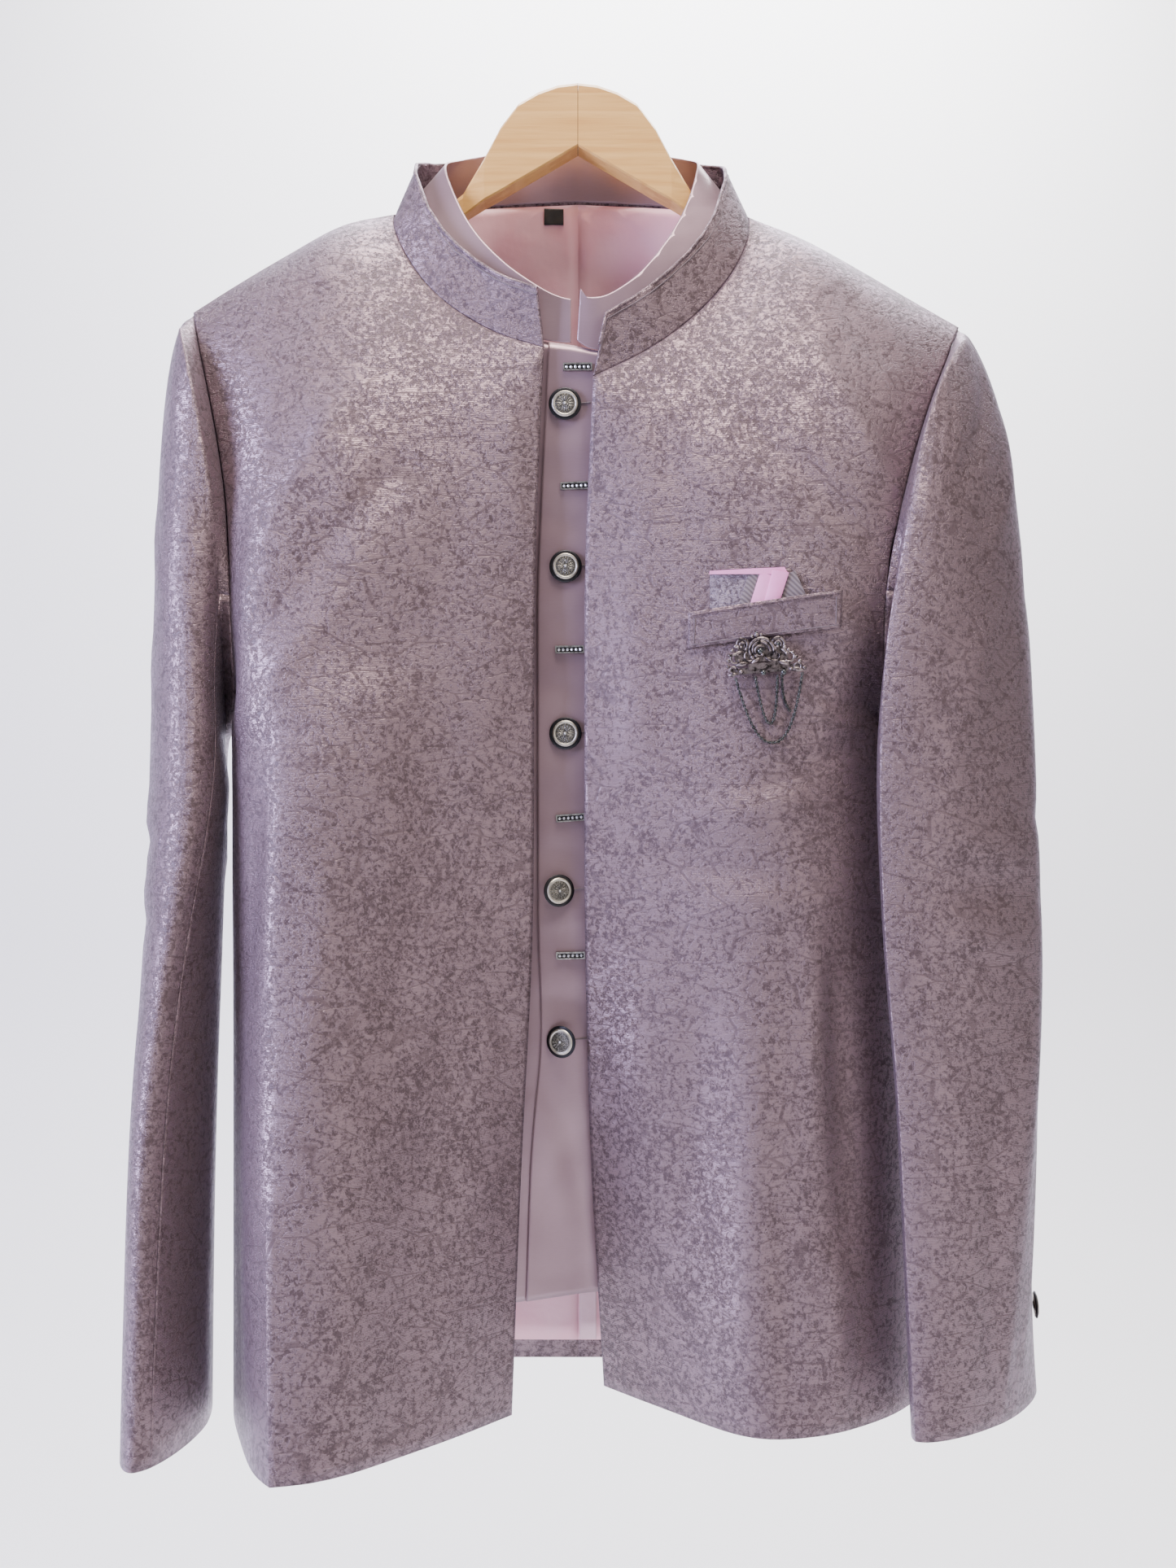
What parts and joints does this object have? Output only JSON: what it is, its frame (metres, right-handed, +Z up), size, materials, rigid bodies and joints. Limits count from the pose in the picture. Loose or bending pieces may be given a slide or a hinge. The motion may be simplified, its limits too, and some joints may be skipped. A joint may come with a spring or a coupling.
{
  "type": "bandhgala jacket on its wooden hanger",
  "caption": "Figured silk jacket with a stand collar, a buttoned satin inner front and a pocket brooch, hanging on a two-part wooden hanger.",
  "frame": {"origin": "the top of the hanger's crown, where the hook of a whole hanger would stand", "axes": "+Z up, the jacket's front looks along -Y, +X is the right of the picture (the wearer's left)"},
  "size_m": [0.5351, 0.1894, 0.796],
  "materials": {
    "jacquard": "mauve and brown figured silk, satin sheen",
    "satin": "plain dusty mauve satin",
    "lining_pink": "smooth pink lining",
    "pleat_pink": "paler pink facing",
    "label_black": "bare black woven label",
    "square_pink": "matt pink",
    "square_grey": "grey twill",
    "antique_silver": "antique silver, darkened in the hollows",
    "wood": "clear varnished light wood"
  },
  "bodies": {
    "root": {"back_left": "jacquard", "back_right": "jacquard", "bar_1": "antique_silver", "bar_2": "antique_silver", "bar_3": "antique_silver", "bar_4": "antique_silver", "bar_5": "antique_silver", "brooch": "antique_silver", "button_1": "antique_silver", "button_2": "antique_silver", "button_3": "antique_silver", "button_4": "antique_silver", "button_5": "antique_silver", "chain_drop": "antique_silver", "chain_inner": "antique_silver", "chain_outer": "antique_silver", "cuff_button_left": "antique_silver", "cuff_button_right": "antique_silver", "front_left": "jacquard", "front_right": "jacquard", "hanger_left": "wood", "hanger_right": "wood", "inner_collar": "satin", "inner_front_left": "satin", "inner_front_right": "satin", "lining_left": "lining_pink", "lining_pleat": "pleat_pink", "lining_right": "lining_pink", "neck_label": "label_black", "outer_collar": "jacquard", "pocket_welt": "jacquard", "square_grey": "square_grey", "square_pattern": "jacquard", "square_pink": "square_pink", "top_sleeve_left": "jacquard", "top_sleeve_right": "jacquard", "under_sleeve_left": "jacquard", "under_sleeve_right": "jacquard"}
  },
  "joints": []
}
